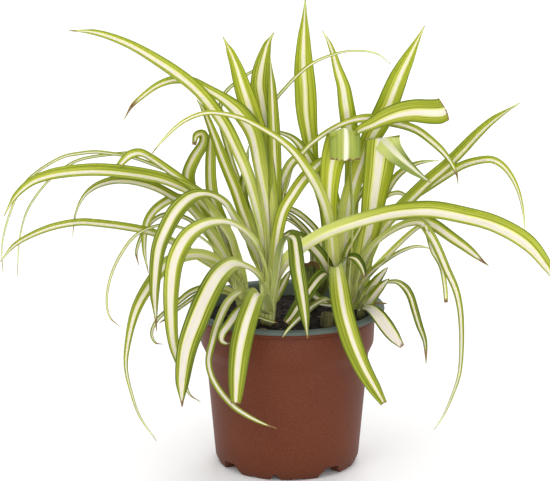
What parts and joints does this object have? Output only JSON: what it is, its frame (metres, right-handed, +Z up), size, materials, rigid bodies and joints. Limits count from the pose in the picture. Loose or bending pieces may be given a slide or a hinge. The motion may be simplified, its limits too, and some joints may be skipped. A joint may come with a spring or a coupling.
{
  "type": "potted spider plant",
  "caption": "Spider plant with long arching striped leaves, growing in a round plastic nursery pot filled with dark soil.",
  "frame": {"origin": "centre of the pot's foot, on the surface it stands on", "axes": "+Z up along the pot's axis, -Y towards the side the plant is seen from, +X to that side's right"},
  "size_m": [0.339, 0.1285, 0.2868],
  "materials": {
    "pot_plastic": "satin terracotta-brown plastic",
    "potting_soil": "dark peat soil",
    "front_leaves": "green leaves with a pale centre stripe",
    "left_leaves": "green leaves with a pale centre stripe",
    "right_leaves": "light green leaves with a pale centre stripe",
    "small_leaves": "green young leaves",
    "old_leaves": "greyish old leaves, cut short",
    "dead_stem": "dry brown stem"
  },
  "bodies": {
    "root": {"pot": "pot_plastic", "soil": "potting_soil", "front_rosette": "front_leaves", "left_rosette": "left_leaves", "right_rosette": "right_leaves", "small_rosette": "small_leaves", "old_rosette": "old_leaves", "dead_stub": "dead_stem"}
  },
  "joints": []
}
